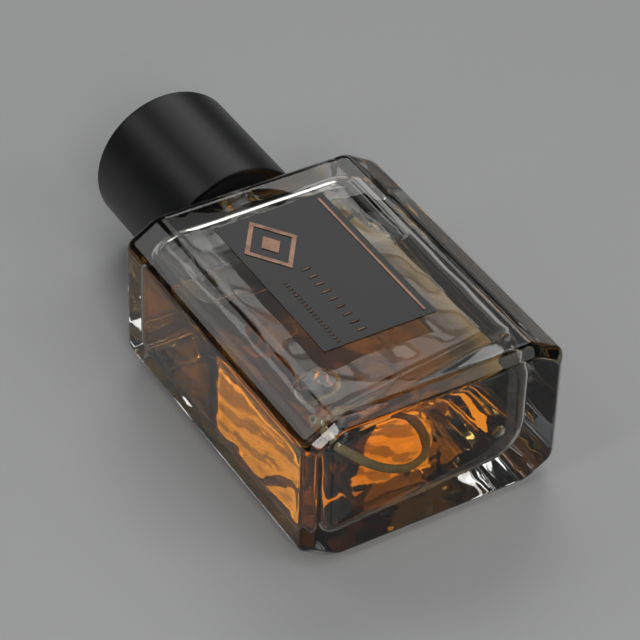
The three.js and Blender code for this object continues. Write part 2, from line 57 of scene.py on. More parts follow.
# %% [markdown]
# ## One measure for the whole bottle
#
# A bottle is easiest to think about from its own foot: how far across, how far along from the foot, and
# how far out of the front. Every shape below is worked out in those three, in millimetres. One function
# then places it in the frame, in metres, with the foot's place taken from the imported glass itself.

# %% The bottle's own measure
MM = 0.001
glass_low, glass_high = (np.array(corner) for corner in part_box("glass_bottle"))
glass_middle = (glass_low + glass_high) / 2
FOOT_MIDDLE = np.array([glass_middle[0], glass_low[1], glass_middle[2]])


def placed(points):
    """Millimetres (across, along, out) from the middle of the foot, as metres in the frame."""
    return np.asarray(points, float) * MM + FOOT_MIDDLE


print("the foot's middle is at", np.round(FOOT_MIDDLE / MM, 2), "mm")

# %% [markdown]
# ## The camera comes first
#
# The bottle is seen from above its left foot corner, through a long lens from two thirds of a metre, as a
# product photographer would stand. A long lens keeps the long edges of the glass nearly parallel. The
# camera's three axes are worked out from its azimuth, elevation and a slight roll, and go straight into
# its matrix.

# %% Camera
CAMERA_AZIMUTH = math.radians(-31.949)
CAMERA_ELEVATION = math.radians(39.642)
CAMERA_ROLL = math.radians(1.914)
CAMERA_DISTANCE = 661.6 * MM
CAMERA_LENS = 164.16
CAMERA_TARGET = np.array([1.213, -10.074, 20.0]) * MM

towards_camera = np.array([
    math.sin(CAMERA_AZIMUTH) * math.cos(CAMERA_ELEVATION),
    -math.cos(CAMERA_AZIMUTH) * math.cos(CAMERA_ELEVATION),
    math.sin(CAMERA_ELEVATION),
])
level_right = np.cross(-towards_camera, [0, 0, 1])
level_right /= np.linalg.norm(level_right)
level_up = np.cross(level_right, -towards_camera)
camera_right = math.cos(CAMERA_ROLL) * level_right + math.sin(CAMERA_ROLL) * level_up
camera_up = math.cos(CAMERA_ROLL) * level_up - math.sin(CAMERA_ROLL) * level_right

camera = bpy.data.objects.new("camera", bpy.data.cameras.new("camera"))
camera.data.lens = CAMERA_LENS
camera.data.sensor_width = 36.0
camera.data.clip_end = 20.0
camera_matrix = np.eye(4)
camera_matrix[:3, :3] = np.stack([camera_right, camera_up, towards_camera], axis=1)
camera_matrix[:3, 3] = CAMERA_TARGET + towards_camera * CAMERA_DISTANCE
camera.matrix_world = Matrix(camera_matrix.tolist())
bpy.context.scene.collection.objects.link(camera)
bpy.context.scene.camera = camera
print("camera at", np.round(camera_matrix[:3, 3] / MM, 1), "mm")

# %% [markdown]
# ## Skinning a stack of rings
#
# Nearly everything on a bottle is a stack of rings: a flask is an eight-sided ring that travels from the
# foot to the neck, and a cap is a circle that travels along its axis. So one function covers any stack of
# rings with faces. It measures the volume that the faces enclose and turns them round if it is negative,
# so they always point outwards, or inwards where the surface is the wall of a hollow, such as a bubble.

# %% From rings to a closed shell
def shell_of(rings, loop=False, hollow=False):
    """Points and faces of a closed surface over rings[i, j], which is point j of ring i.

    Four neighbours make a face, and a ring's last point meets its first. The two ends of the stack close
    in a fan round their middle point; with loop set they meet each other instead, as on a washer. The
    enclosed volume is the sum over triangles of a . (b x c) / 6, and the faces are turned so that it is
    positive, or negative if hollow.
    """
    count, around = rings.shape[:2]
    steps = count if loop else count - 1
    i, j = np.meshgrid(np.arange(steps), np.arange(around), indexing="ij")
    row, next_row = i * around, (i + 1) % count * around
    next_j = (j + 1) % around
    quads = np.stack([row + j, next_row + j, next_row + next_j, row + next_j], -1).reshape(-1, 4)
    points = rings.reshape(-1, 3)
    fans = np.zeros((0, 3), int)
    if not loop:
        ends = np.stack([rings[0].mean(0), rings[-1].mean(0)])
        rim = np.arange(around)
        beside = (rim + 1) % around
        first = np.stack([rim * 0 + len(points), rim, beside], -1)
        last_row = (count - 1) * around
        last = np.stack([rim * 0 + len(points) + 1, last_row + beside, last_row + rim], -1)
        points = np.concatenate([points, ends])
        fans = np.concatenate([first, last])
    triangles = np.concatenate([quads[:, :3], quads[:, [0, 2, 3]], fans])
    a, b, c = (points[triangles[:, k]] for k in range(3))
    volume = (a * np.cross(b, c)).sum() / 6
    if (volume < 0) != hollow:
        quads, fans = quads[:, ::-1], fans[:, ::-1]
    return points, quads.tolist() + fans.tolist()


# %% From shells to a piece that rides on a body
def make_piece(name, shells, material, body, stands_for=()):
    """One smooth object from one or more shells in the bottle's millimetres, riding on a CAD body."""
    starts = np.cumsum([0] + [len(points) for points, _ in shells])
    points = placed(np.concatenate([points for points, _ in shells]))
    faces = [[k + start for k in face] for (_, own), start in zip(shells, starts) for face in own]
    mesh = bpy.data.meshes.new(name)
    mesh.from_pydata(points, [], faces)
    mesh.polygons.foreach_set("use_smooth", np.ones(len(mesh.polygons), bool))
    mesh.materials.append(material)
    mesh.update()
    piece = bpy.data.objects.new(name, mesh)
    bpy.context.scene.collection.objects.link(piece)
    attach(piece, body)
    if stands_for:
        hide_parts(*stands_for)
    print(f"{name}: {len(points)} points, {len(faces)} faces, on {body}")


# %% [markdown]
# ## Rounding the corners of an outline
#
# Nothing moulded or pressed has a perfectly sharp corner, and a rounded one catches a line of light. Each
# corner of an outline is replaced by a short curve. A smooth-shaded mesh bends its shading right across
# the neighbouring flat, though, so one more point is held a little way out on each side, and the flat
# stays flat beyond it.

# %% Softened outlines
def softened(corners, softness, fill=0, steps=6, hold=0.25, closed=True):
    """Points along an outline with its corners rounded off.

    Near corner c the line is (1 - t)^2 a + 2 t (1 - t) c + t^2 b, where a and b lie at that corner's
    softness along its two sides. A held point lies beyond each end of the curve, and fill more points are
    spread along each side. An open outline keeps its first and last corners as they are.
    """
    corners = np.asarray(corners, float)
    soft = np.broadcast_to(np.asarray(softness, float), len(corners))
    fill = np.broadcast_to(np.asarray(fill, int), len(corners))
    back = np.roll(corners, 1, 0) - corners
    ahead = np.roll(corners, -1, 0) - corners
    back_length, ahead_length = np.linalg.norm(back, axis=1), np.linalg.norm(ahead, axis=1)
    back, ahead = back / back_length[:, None], ahead / ahead_length[:, None]
    back_room = (back_length - soft - np.roll(soft, 1)) / 3
    ahead_room = (ahead_length - soft - np.roll(soft, -1)) / 3
    a = corners + back * soft[:, None]
    b = corners + ahead * soft[:, None]
    t = np.linspace(0, 1, steps + 1)[None, :, None]
    curve = (1 - t) ** 2 * a[:, None] + 2 * t * (1 - t) * corners[:, None] + t ** 2 * b[:, None]
    before = a + back * np.minimum(hold, back_room)[:, None]
    after = b + ahead * np.minimum(hold, ahead_room)[:, None]
    blocks = np.concatenate([before[:, None], curve, after[:, None]], axis=1)
    inner = range(len(corners)) if closed else range(1, len(corners) - 1)
    line = [] if closed else [corners[:1]]
    for k in inner:
        line.append(blocks[k])
        following = blocks[(k + 1) % len(corners)][0] if closed or k + 2 < len(corners) else corners[-1]
        share = np.linspace(0, 1, fill[k] + 2)[1:-1, None]
        line.append(blocks[k][-1] * (1 - share) + following * share)
    if not closed:
        line.append(corners[-1:])
    return np.concatenate(line)


# %% [markdown]
# ## Turned pieces
#
# The cap, the collar and the parts of the pump are round. Each is a profile, radius against distance from
# the foot, carried round the neck's axis.

# %% Carrying a profile round the neck
def turned(corners, softness, around=144, on_axis=False, steps=5, hold=0.2):
    """A closed shell from profile corners [radius, along]: point j of a ring is (r cos, along, r sin) of
    2 pi j / n.

    With on_axis the profile starts and ends on the axis, otherwise its end meets its start.
    """
    profile = softened(corners, softness, steps=steps, hold=hold, closed=not on_axis)
    if on_axis:
        profile = profile[1:-1]
    angle = np.linspace(0, 2 * np.pi, around, endpoint=False)
    radius, along = profile[:, :1], profile[:, 1:]
    rings = np.stack([radius * np.cos(angle), along + 0 * angle, radius * np.sin(angle)], axis=-1)
    if on_axis:
        closing = np.array([0.5, 0.02])[:, None, None]
        middle = rings.mean(1, keepdims=True)
        start = middle[:1] + (rings[:1] - middle[:1]) * closing[::-1]
        end = middle[-1:] + (rings[-1:] - middle[-1:]) * closing
        rings = np.concatenate([start, rings, end])
    return shell_of(rings, loop=not on_axis)


# %% [markdown]
# ## Grain and turning marks
#
# A finish is never one even colour. Two effects are shared by many of the materials, so each is a node
# group, built once and given its own values in each material: a fine grain for moulded and painted
# surfaces, and marks that run round the neck's axis for turned and spun metal. Each gives a tone, a
# roughness and a normal. The faint smears that handling leaves on glass belong to the glass alone.

# %% Helpers for building node trees
def add_node(tree, kind, values=None, links=None, **settings):
    """Adds a node, sets its properties, then its socket values, then links sockets to it."""
    made = tree.nodes.new(kind)
    for key, value in settings.items():
        setattr(made, key, value)
    for key, value in (values or {}).items():
        made.inputs[key].default_value = value
    for key, source in (links or {}).items():
        tree.links.new(source, made.inputs[key])
    return made


def group_with(name, inputs, outputs):
    """An empty node group with float inputs {name: default} and outputs {name: socket type}."""
    group = bpy.data.node_groups.new(name, "ShaderNodeTree")
    for key, value in inputs.items():
        group.interface.new_socket(key, in_out="INPUT", socket_type="NodeSocketFloat").default_value = value
    for key, kind in outputs.items():
        group.interface.new_socket(key, in_out="OUTPUT", socket_type=kind)
    return group, group.nodes.new("NodeGroupInput"), group.nodes.new("NodeGroupOutput")


MARK_HEIGHT = 0.00003  # metres, for the bump of grain and marks


def marked(group, group_in, group_out, noise, share, other_noise, height):
    """Fills a group's outputs: the tone is share of noise and the rest of other_noise, the roughness
    swings about its own value with the tone, and the normal comes from height."""
    tone = add_node(group, "ShaderNodeMath", {1: share}, {0: noise.outputs["Fac"]}, operation="MULTIPLY")
    tone = add_node(group, "ShaderNodeMath", {1: 1 - share},
                    {0: other_noise.outputs["Fac"], 2: tone.outputs[0]}, operation="MULTIPLY_ADD")
    swing = add_node(group, "ShaderNodeMath", {1: 0.5}, {0: tone.outputs[0]}, operation="SUBTRACT")
    rough = add_node(group, "ShaderNodeMath", {}, {0: swing.outputs[0], 1: group_in.outputs["Spread"],
                     2: group_in.outputs["Roughness"]}, operation="MULTIPLY_ADD", use_clamp=True)
    bump = add_node(group, "ShaderNodeBump", {"Distance": MARK_HEIGHT},
                    {"Height": height.outputs["Fac"], "Strength": group_in.outputs["Depth"]})
    group.links.new(tone.outputs[0], group_out.inputs["Tone"])
    group.links.new(rough.outputs[0], group_out.inputs["Roughness"])
    group.links.new(bump.outputs["Normal"], group_out.inputs["Normal"])


# %% Fine grain
FLOAT, VECTOR = "NodeSocketFloat", "NodeSocketVector"
surface_grain, g_in, g_out = group_with(
    "surface_grain",
    {"Grain per metre": 4000, "Patches per metre": 60, "Roughness": 0.4, "Spread": 0.1, "Depth": 0.1},
    {"Tone": FLOAT, "Roughness": FLOAT, "Normal": VECTOR},
)
g_where = add_node(surface_grain, "ShaderNodeTexCoord").outputs["Object"]
g_fine = add_node(surface_grain, "ShaderNodeTexNoise", {"Detail": 3.0, "Roughness": 0.6},
                  {"Vector": g_where, "Scale": g_in.outputs["Grain per metre"]})
g_broad = add_node(surface_grain, "ShaderNodeTexNoise", {"Detail": 4.0, "Distortion": 0.4},
                   {"Vector": g_where, "Scale": g_in.outputs["Patches per metre"]})
marked(surface_grain, g_in, g_out, g_fine, 0.35, g_broad, g_fine)

# %% Marks that run round the neck's axis
turning_marks, t_in, t_out = group_with(
    "turning_marks",
    {"Lines per metre": 9000, "Roughness": 0.3, "Spread": 0.15, "Depth": 0.15},
    {"Tone": FLOAT, "Roughness": FLOAT, "Normal": VECTOR},
)
t_where = add_node(turning_marks, "ShaderNodeTexCoord").outputs["Object"]
t_centred = add_node(turning_marks, "ShaderNodeVectorMath", {1: tuple(-FOOT_MIDDLE)}, {0: t_where},
                     operation="ADD")
t_axes = add_node(turning_marks, "ShaderNodeSeparateXYZ", {}, {0: t_centred.outputs[0]})
t_square = add_node(turning_marks, "ShaderNodeMath", {}, {0: t_axes.outputs["X"], 1: t_axes.outputs["X"]},
                    operation="MULTIPLY")
t_square = add_node(turning_marks, "ShaderNodeMath", {}, {0: t_axes.outputs["Z"], 1: t_axes.outputs["Z"],
                    2: t_square.outputs[0]}, operation="MULTIPLY_ADD")
t_radius = add_node(turning_marks, "ShaderNodeMath", {}, {0: t_square.outputs[0]}, operation="SQRT")
t_line = add_node(turning_marks, "ShaderNodeCombineXYZ", {},
                  {"X": t_radius.outputs[0], "Y": t_axes.outputs["Y"]})
t_noise = add_node(turning_marks, "ShaderNodeTexNoise", {"Detail": 3.0, "Roughness": 0.7},
                   {"Vector": t_line.outputs[0], "Scale": t_in.outputs["Lines per metre"]})
t_cloud = add_node(turning_marks, "ShaderNodeTexNoise", {"Scale": 90.0, "Detail": 3.0}, {"Vector": t_where})
marked(turning_marks, t_in, t_out, t_cloud, 0.5, t_noise, t_noise)
print("node groups:", ", ".join(sorted(group.name for group in bpy.data.node_groups)))


# %% A finish from a group and two tones
def finish_of(name, group, values, dark, light, **shader_values):
    """A Principled material: its colour runs from dark to light with the group's tone, and its roughness
    and normal come from the group. Everything even over the surface is set on the shader itself."""
    material = bpy.data.materials.new(name)
    material.use_nodes = True
    tree = material.node_tree
    shader = tree.nodes["Principled BSDF"]
    for key, value in shader_values.items():
        shader.inputs[key.replace("_", " ")].default_value = value
    marks = add_node(tree, "ShaderNodeGroup", node_tree=group)
    for key, value in values.items():
        marks.inputs[key].default_value = value
    ramp = add_node(tree, "ShaderNodeValToRGB", {}, {"Fac": marks.outputs["Tone"]})
    ramp.color_ramp.elements[0].position = 0.3
    ramp.color_ramp.elements[0].color = (*dark, 1)
    ramp.color_ramp.elements[1].position = 0.7
    ramp.color_ramp.elements[1].color = (*light, 1)
    tree.links.new(ramp.outputs["Color"], shader.inputs["Base Color"])
    tree.links.new(marks.outputs["Roughness"], shader.inputs["Roughness"])
    tree.links.new(marks.outputs["Normal"], shader.inputs["Normal"])
    return material


# %% [markdown]
# ## Glass and what is in it
#
# Clear flint glass bends light by 1.5 and takes almost none of it. Aftershave bends it by 1.36, and takes
# blue first and then green, so a thin layer is gold and a thick one is brown. That depth of colour can't
# be painted on. It comes from a Volume Absorption node, which takes more the further light travels
# inside. The fill's surface is set five hundredths of a millimetre into the glass, because an air gap
# there would mirror like a soap film.

# %% Flint glass
GLASS_IOR = 1.5
flint_glass = bpy.data.materials.new("flint_glass")
flint_glass.use_nodes = True
glass_tree = flint_glass.node_tree
glass_shader = glass_tree.nodes["Principled BSDF"]
glass_shader.inputs["IOR"].default_value = GLASS_IOR
glass_shader.inputs["Transmission Weight"].default_value = 1.0
glass_where = add_node(glass_tree, "ShaderNodeTexCoord").outputs["Object"]
glass_smear = add_node(glass_tree, "ShaderNodeTexNoise", {"Scale": 45.0, "Detail": 5.0, "Distortion": 0.8},
                       {"Vector": glass_where})
glass_rough = add_node(glass_tree, "ShaderNodeMapRange", {"From Min": 0.55, "From Max": 0.8, "To Min": 0.0,
                       "To Max": 0.035}, {"Value": glass_smear.outputs["Fac"]})
glass_colour = add_node(glass_tree, "ShaderNodeValToRGB", {}, {"Fac": glass_smear.outputs["Fac"]})
glass_colour.color_ramp.elements[0].color = (0.99, 0.995, 0.993, 1)
glass_colour.color_ramp.elements[1].color = (0.955, 0.975, 0.968, 1)
glass_wave = add_node(glass_tree, "ShaderNodeTexNoise", {"Scale": 110.0, "Detail": 1.0},
                      {"Vector": glass_where})
glass_bump = add_node(glass_tree, "ShaderNodeBump", {"Strength": 0.25, "Distance": 0.0001},
                      {"Height": glass_wave.outputs["Fac"]})
glass_tree.links.new(glass_colour.outputs["Color"], glass_shader.inputs["Base Color"])
glass_tree.links.new(glass_rough.outputs["Result"], glass_shader.inputs["Roughness"])
glass_tree.links.new(glass_bump.outputs["Normal"], glass_shader.inputs["Normal"])

# %% Aftershave
FILL_IOR = 1.36
FILL_COLOUR = (0.985, 0.917, 0.72, 1)
FILL_DENSITY = 260.0
aftershave = bpy.data.materials.new("aftershave")
aftershave.use_nodes = True
fill_tree = aftershave.node_tree
fill_shader = fill_tree.nodes["Principled BSDF"]
fill_shader.inputs["IOR"].default_value = FILL_IOR
fill_shader.inputs["Transmission Weight"].default_value = 1.0
fill_shader.inputs["Roughness"].default_value = 0.0
fill_where = add_node(fill_tree, "ShaderNodeTexCoord").outputs["Object"]
fill_cloud = add_node(fill_tree, "ShaderNodeTexNoise", {"Scale": 60.0, "Detail": 2.0, "Distortion": 1.2},
                      {"Vector": fill_where})
fill_colour = add_node(fill_tree, "ShaderNodeValToRGB", {}, {"Fac": fill_cloud.outputs["Fac"]})
fill_colour.color_ramp.elements[0].color = (1.0, 0.96, 0.9, 1)
fill_colour.color_ramp.elements[1].color = (1.0, 0.99, 0.97, 1)
fill_bump = add_node(fill_tree, "ShaderNodeBump", {"Strength": 0.3, "Distance": 0.0003},
                     {"Height": fill_cloud.outputs["Fac"]})
fill_absorbs = add_node(fill_tree, "ShaderNodeVolumeAbsorption",
                        {"Color": FILL_COLOUR, "Density": FILL_DENSITY})
fill_tree.links.new(fill_colour.outputs["Color"], fill_shader.inputs["Base Color"])
fill_tree.links.new(fill_bump.outputs["Normal"], fill_shader.inputs["Normal"])
fill_tree.links.new(fill_absorbs.outputs["Volume"], fill_tree.nodes["Material Output"].inputs["Volume"])
print("absorption at 10 mm:", np.round(np.exp(-0.01 * FILL_DENSITY * (1 - np.array(FILL_COLOUR[:3]))), 3))

# %% [markdown]
# ## The flask
#
# The flask is blown in a mould: eight-sided outside, softly rounded inside, thick in the foot and walls.
# Outside, one eight-sided ring is drawn in for the foot's chamfer and the shoulder's round, then turns
# into circles for the neck and its bead. Inside, the ring is a rectangle with round corners, and the
# hollow's wall ripples a little, as blown glass does. Outside and inside are one stack of rings that
# meets at the lip, so the glass is one closed wall.

# %% Flask sizes
WIDTH, THICK, BODY_LENGTH = 66.0, 40.0, 82.0
BEVEL_ACROSS, BEVEL_OUT = 8.0, 5.0
CREASE = 1.6
FOOT_CHAMFER = 2.4
SHOULDER_ROUND = 3.2
FOOT_FLAT, SHOULDER_FLAT = 4.5, 6.0  # insets of the outermost ring on the foot and on the shoulder
NECK_RADIUS, BEAD_RADIUS, BORE_RADIUS = 6.0, 7.5, 4.7
BEAD_FOOT, LIP = 88.2, 92.0
HOLLOW_HALF = np.array([27.4, 14.8])
HOLLOW_CORNERS = np.array([9.0, 9.0, 6.0, 4.5])  # back right, front right, front left, back left
HOLLOW_END = 4.0
HOLLOW_FOOT, HOLLOW_TOP = 8.0, 78.5
HEEL_TILT, HEEL_REACH = 0.15, 22.0  # slope of the floor, up to the right, and how far up the sides it fades
AROUND = 160


def flask_section(inset):
    """The eight-sided outline (across, out), every side moved in by inset, with soft creases: AROUND
    points."""
    n_across, n_out = np.array([BEVEL_OUT, BEVEL_ACROSS]) / math.hypot(BEVEL_OUT, BEVEL_ACROSS)
    x, z = WIDTH / 2 - inset, THICK / 2 - inset
    side = z + inset - BEVEL_OUT - inset * (1 - n_across) / n_out
    face = x + inset - BEVEL_ACROSS - inset * (1 - n_out) / n_across
    corners = [
        [x, -side], [x, side], [face, z], [-face, z],
        [-x, side], [-x, -side], [-face, -z], [face, -z],
    ]
    return softened(corners, CREASE, fill=[12, 3, 26, 3, 12, 3, 26, 3], steps=6, hold=0.35)


def hollow_outline():
    """The hollow's outline as AROUND base points, a direction out of each, and a radius for each.

    A point of the outline is base + radius * direction. Each corner turns through a quarter circle of its
    own radius about its own middle, and along a side both the base and the radius run evenly from one
    corner to the next.
    """
    quarter = np.linspace(0, np.pi / 2, 16)
    signs = np.array([[1, -1], [1, 1], [-1, 1], [-1, -1]])
    middles = signs * (HOLLOW_HALF - HOLLOW_CORNERS[:, None])
    base, angle, radius = [], [], []
    for k, between in enumerate([14, 34, 14, 34]):
        following = (k + 1) % 4
        share = np.linspace(0, 1, between + 2)[1:-1]
        base += [np.repeat(middles[k:k + 1], 16, 0),
                 middles[k] * (1 - share[:, None]) + middles[following] * share[:, None]]
        angle += [quarter + np.pi / 2 * (k - 1), np.full(between, np.pi / 2 * k)]
        this_radius, next_radius = HOLLOW_CORNERS[[k, following]]
        radius += [np.full(16, this_radius), this_radius * (1 - share) + next_radius * share]
    base, angle, radius = (np.roll(np.concatenate(part), -8, 0) for part in (base, angle, radius))
    return base, np.stack([np.cos(angle), np.sin(angle)], -1), radius


HOLLOW_BASE, HOLLOW_OUT, HOLLOW_RADIUS = hollow_outline()


def polar_angles(outline):
    """The direction of each point of an outline from its middle, rising steadily from its first point."""
    return np.unwrap(np.arctan2(outline[:, 1], outline[:, 0]))


def ring_of(outline, along):
    """An outline (across, out) at a distance along the bottle, as ring points."""
    return np.stack([outline[:, 0], np.broadcast_to(along, len(outline)), outline[:, 1]], -1)


# %% The hollow's rippling wall and its sloping floor
def heel(points):
    """How far the sloping floor shifts each point along: tilt * across * (1 - t)^2, t the share of the
    heel's reach."""
    t = np.clip((points[..., 1] - HOLLOW_FOOT) / HEEL_REACH, 0, 1)
    return HEEL_TILT * points[..., 0] * (1 - t) ** 2


RIPPLE_WAVES = np.array([
    [0.52, 0.31, 0.24, 1.3],
    [-0.33, 0.57, 0.41, 0.2],
    [0.27, -0.44, 0.66, 2.1],
    [0.81, 0.18, -0.35, 4.0],
])
RIPPLE_HEIGHTS = np.array([0.05, 0.045, 0.035, 0.02])


def ripple(points):
    """How far the hollow's wall stands out at each point: the sum of height * sin(wave . point + phase)."""
    phase = points @ RIPPLE_WAVES[:, :3].T + RIPPLE_WAVES[:, 3]
    return np.sin(phase) @ RIPPLE_HEIGHTS


def hollow_wall(beyond):
    """Rings over the hollow from its floor to its ceiling, moved beyond millimetres into the glass.

    Along the sides the outline keeps its own radius. Over each end the radius shrinks by end * (1 - sin)
    while the distance along goes as end * cos, so the end is rounded by a quarter circle. Then it
    ripples, and the heel tilts.
    """
    turn = np.linspace(0, np.pi / 2, 10)
    straight = np.linspace(HOLLOW_FOOT + HOLLOW_END, HOLLOW_TOP - HOLLOW_END, 34)[1:-1]
    drawn_in = HOLLOW_END * (1 - np.sin(turn))
    drawn_in = np.concatenate([drawn_in, straight * 0, drawn_in[::-1]]) - beyond
    rise = (HOLLOW_END + beyond) * np.cos(turn)
    along = [HOLLOW_FOOT + HOLLOW_END - rise, straight, HOLLOW_TOP - HOLLOW_END + rise[::-1]]
    along = np.concatenate(along)
    flat = HOLLOW_BASE[None] + HOLLOW_OUT[None] * (HOLLOW_RADIUS[None, :, None] - drawn_in[:, None, None])
    rings = np.stack([flat[..., 0], np.broadcast_to(along[:, None], flat.shape[:2]), flat[..., 1]], -1)
    out = np.stack([HOLLOW_OUT[:, 0], HOLLOW_OUT[:, 0] * 0, HOLLOW_OUT[:, 1]], -1)
    fade = np.sin(np.linspace(0, np.pi, len(rings))) ** 0.35
    rings = rings + out * (ripple(rings) * fade[:, None])[..., None]
    rings[..., 1] += heel(rings)
    return rings


def floor_rings(rim, shares):
    """Rings that shrink from a rim towards its middle by shares, in the rim's own plane."""
    middle = rim.mean(0)
    return np.array([middle + (rim - middle) * share for share in shares])


# %% Outside, neck and hollow as one wall
outer_corners = [
    [FOOT_FLAT, 0], [FOOT_CHAMFER, 0], [0, FOOT_CHAMFER], [0, BODY_LENGTH], [SHOULDER_FLAT, BODY_LENGTH],
]
outer_profile = softened(outer_corners, [0, 0.6, 0.9, SHOULDER_ROUND, 0], fill=[0, 0, 18, 0, 0], steps=7,
                         hold=0.35, closed=False)
outer = np.array([ring_of(flask_section(inset), along) for inset, along in outer_profile])
foot_face = floor_rings(outer[0], [0.02, 0.35, 0.7])

neck_corners = [[9.5, BODY_LENGTH], [NECK_RADIUS, BODY_LENGTH], [NECK_RADIUS, BEAD_FOOT - 0.8],
                [BEAD_RADIUS, BEAD_FOOT], [BEAD_RADIUS, LIP], [BORE_RADIUS, LIP], [BORE_RADIUS, HOLLOW_TOP],
                [6.2, HOLLOW_TOP]]
neck_profile = softened(neck_corners, [0, 1.0, 0.4, 0.5, 0.5, 0.5, 0.6, 0], steps=5, hold=0.2, closed=False)
outside_angles = polar_angles(flask_section(0))
inside_angles = polar_angles(HOLLOW_BASE + HOLLOW_OUT * HOLLOW_RADIUS[:, None])
turn_over = np.clip((np.arange(len(neck_profile)) - len(neck_profile) * 0.5) / 12, 0, 1)[:, None]
neck_angles = outside_angles * (1 - turn_over) + inside_angles * turn_over
neck = np.stack([
    neck_profile[:, :1] * np.cos(neck_angles),
    np.broadcast_to(neck_profile[:, 1:], neck_angles.shape),
    neck_profile[:, :1] * np.sin(neck_angles),
], -1)

inner = hollow_wall(0)[::-1]
middle_shoulder = np.array([outer[-1] * (1 - t) + neck[0] * t for t in (0.35, 0.7)])
middle_ceiling = (neck[-1] + inner[0]) / 2
hollow_floor = floor_rings(inner[-1], [0.7, 0.35, 0.02])
flask_rings = np.concatenate([
    foot_face, outer, middle_shoulder, neck,
    middle_ceiling[None], inner, hollow_floor,
])
flask_shell = shell_of(flask_rings)
make_piece("glass_flask", [flask_shell], flint_glass, "bottle", ["glass_bottle"])

# %% [markdown]
# ## The fill, its air and its bubbles
#
# The flask isn't quite full. As it lies on its back the air spreads under the front wall as one flat
# pocket at the shoulder end. Surface tension rounds the pocket's rim, and that rim is the bright curved
# line to look for. One round bubble has stayed in the foot's corner and a small one clings to the
# hollow's floor. Each is a hollow inside the fill, so its shell faces inwards and belongs to the same
# object.

# %% Keeping air inside the glass
FILM = 0.1


def inside_hollow(points, film=FILM):
    """Draws points back until they are film inside the hollow's wall.

    The quarter that a point is in gives the corner's radius, and its distance along shrinks that near an
    end, as in hollow_wall. Its offset from the corner's middle is then shortened to that radius.
    """
    points = points.copy()
    across, out = points[..., 0], points[..., 2]
    corner = np.where(across > 0, np.where(out > 0, 1, 0), np.where(out > 0, 2, 3))
    corner_radius = HOLLOW_CORNERS[corner]
    tilt = heel(points)
    points[..., 1] = np.clip(points[..., 1], HOLLOW_FOOT + film + tilt, HOLLOW_TOP - film)
    low, high = HOLLOW_FOOT + HOLLOW_END + tilt, HOLLOW_TOP - HOLLOW_END
    into_end = np.clip(np.maximum(points[..., 1] - high, low - points[..., 1]), 0, HOLLOW_END)
    radius = corner_radius - HOLLOW_END + np.sqrt(HOLLOW_END ** 2 - into_end ** 2) - film
    flat = points[..., [0, 2]]
    core = HOLLOW_HALF - corner_radius[..., None]
    base = np.clip(flat, -core, core)
    offset = flat - base
    length = np.linalg.norm(offset, axis=-1)
    flat = base + offset * np.minimum(1, radius / np.maximum(length, 1e-9))[..., None]
    points[..., 0], points[..., 2] = flat[..., 0], flat[..., 1]
    return points


# %% The air pocket, pressed flat under the front wall
AIR_DEPTH, AIR_LENGTH, AIR_RIM = 3.4, 29.0, 2.4


def air_pocket():
    """A flat cushion of air: its outline is drawn in by rim * (1 - cos) while its depth goes as sin,
    below and above.

    The outline is a rectangle with two soft corners towards the foot. Being pressed against the glass on
    its other three sides, it takes the wall's own shape there.
    """
    top = HOLLOW_HALF[1] - FILM
    foot, head, half = HOLLOW_TOP - AIR_LENGTH, HOLLOW_TOP + 1.0, HOLLOW_HALF[0] + 0.3
    corners = [[-half, foot], [half, foot], [half, head], [-half, head]]
    outline = softened(corners, [12, 10, 2, 2], fill=[24, 18, 24, 18], steps=16, hold=0.5)
    middle = np.array([0.0, (foot + head) / 2])
    reach = np.array([half, (head - foot) / 2])
    turn = np.linspace(-np.pi / 2, np.pi / 2, 19)
    inset = AIR_RIM * (1 - np.cos(turn))
    height = top - AIR_DEPTH / 2 + np.sin(turn) * AIR_DEPTH / 2
    share = 1 - inset[:, None] / reach
    closing = np.array([[0.02], [0.4], [0.8]])
    share = np.concatenate([share[:1] * closing, share, share[-1:] * closing[::-1]])
    height = np.concatenate([height[:1].repeat(3), height, height[-1:].repeat(3)])
    flat = middle + (outline - middle)[None] * share[:, None]
    rings = np.stack([flat[..., 0], flat[..., 1], np.broadcast_to(height[:, None], flat.shape[:2])], -1)
    return shell_of(inside_hollow(rings), hollow=True)


# %% Round bubbles
def bubble(middle, radii, rows=40, around=72):
    """An ellipsoid: middle + radii * (sin v cos u, sin v sin u, cos v), flattened where it meets the
    wall."""
    v = np.linspace(0.02, np.pi - 0.02, rows)[:, None]
    u = np.linspace(0, 2 * np.pi, around, endpoint=False)[None]
    ball = np.stack([np.sin(v) * np.cos(u), np.sin(v) * np.sin(u), np.cos(v) + 0 * u], -1)
    return shell_of(inside_hollow(np.array(middle) + np.array(radii) * ball), hollow=True)


BUBBLE_MIDDLE, BUBBLE_RADII = (-19.7, 17.2, 12.3), (4.7, 4.7, 3.6)
SMALL_BUBBLE_MIDDLE, SMALL_BUBBLE_RADII = (20.2, 12.8, -6.5), (1.6, 1.6, 1.6)

# %% The fill, from its floor to the well round the pump
OVERLAP = 0.05
BARREL_RADIUS, BARREL_FOOT, BARREL_CONE = 4.3, 72.0, 0.6
TAIL_RADIUS, TAIL_FOOT = 1.9, 64.0

